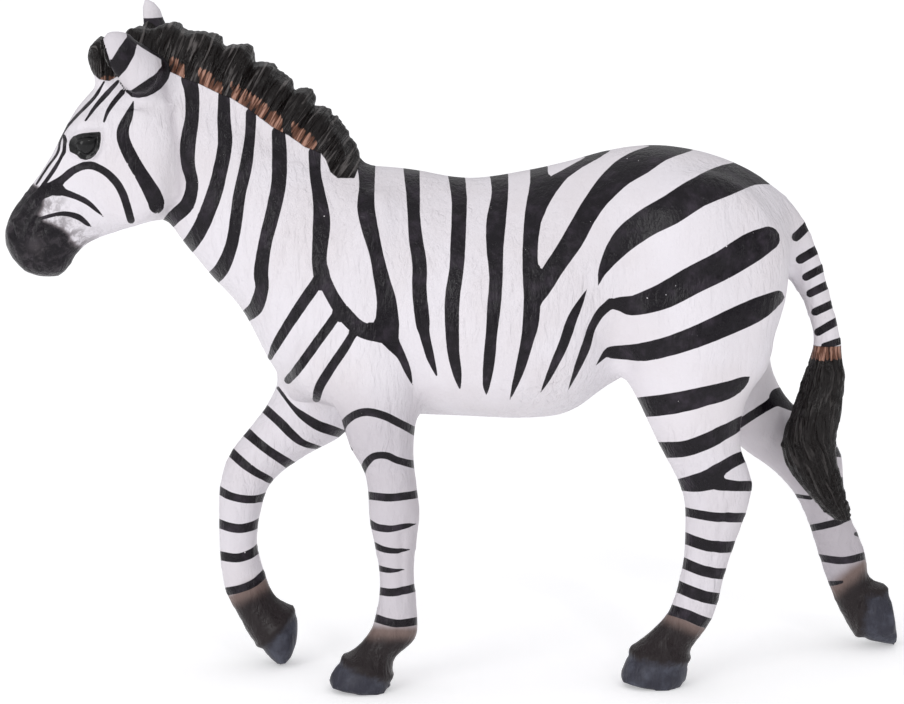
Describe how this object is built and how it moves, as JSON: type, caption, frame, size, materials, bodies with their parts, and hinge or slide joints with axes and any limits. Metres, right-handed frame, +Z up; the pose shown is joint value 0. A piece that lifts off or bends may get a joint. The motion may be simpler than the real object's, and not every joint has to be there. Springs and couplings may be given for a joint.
{
  "type": "zebra figurine",
  "caption": "Painted solid plastic zebra in a walking pose, with a standing mane, cupped ears, carved hooves and a tufted tail.",
  "frame": {"origin": "middle of the figure's box, on the ground that it stands on", "axes": "+X from the muzzle towards the tail, +Y from the animal's left side to its right side, +Z up"},
  "size_m": [0.1244, 0.0322, 0.0931],
  "materials": {
    "painted_plastic": "satin white paint with hand-painted black stripes, black mane and muzzle, and dark grey hooves"
  },
  "bodies": {
    "root": {"zebra": "painted_plastic"}
  },
  "joints": []
}
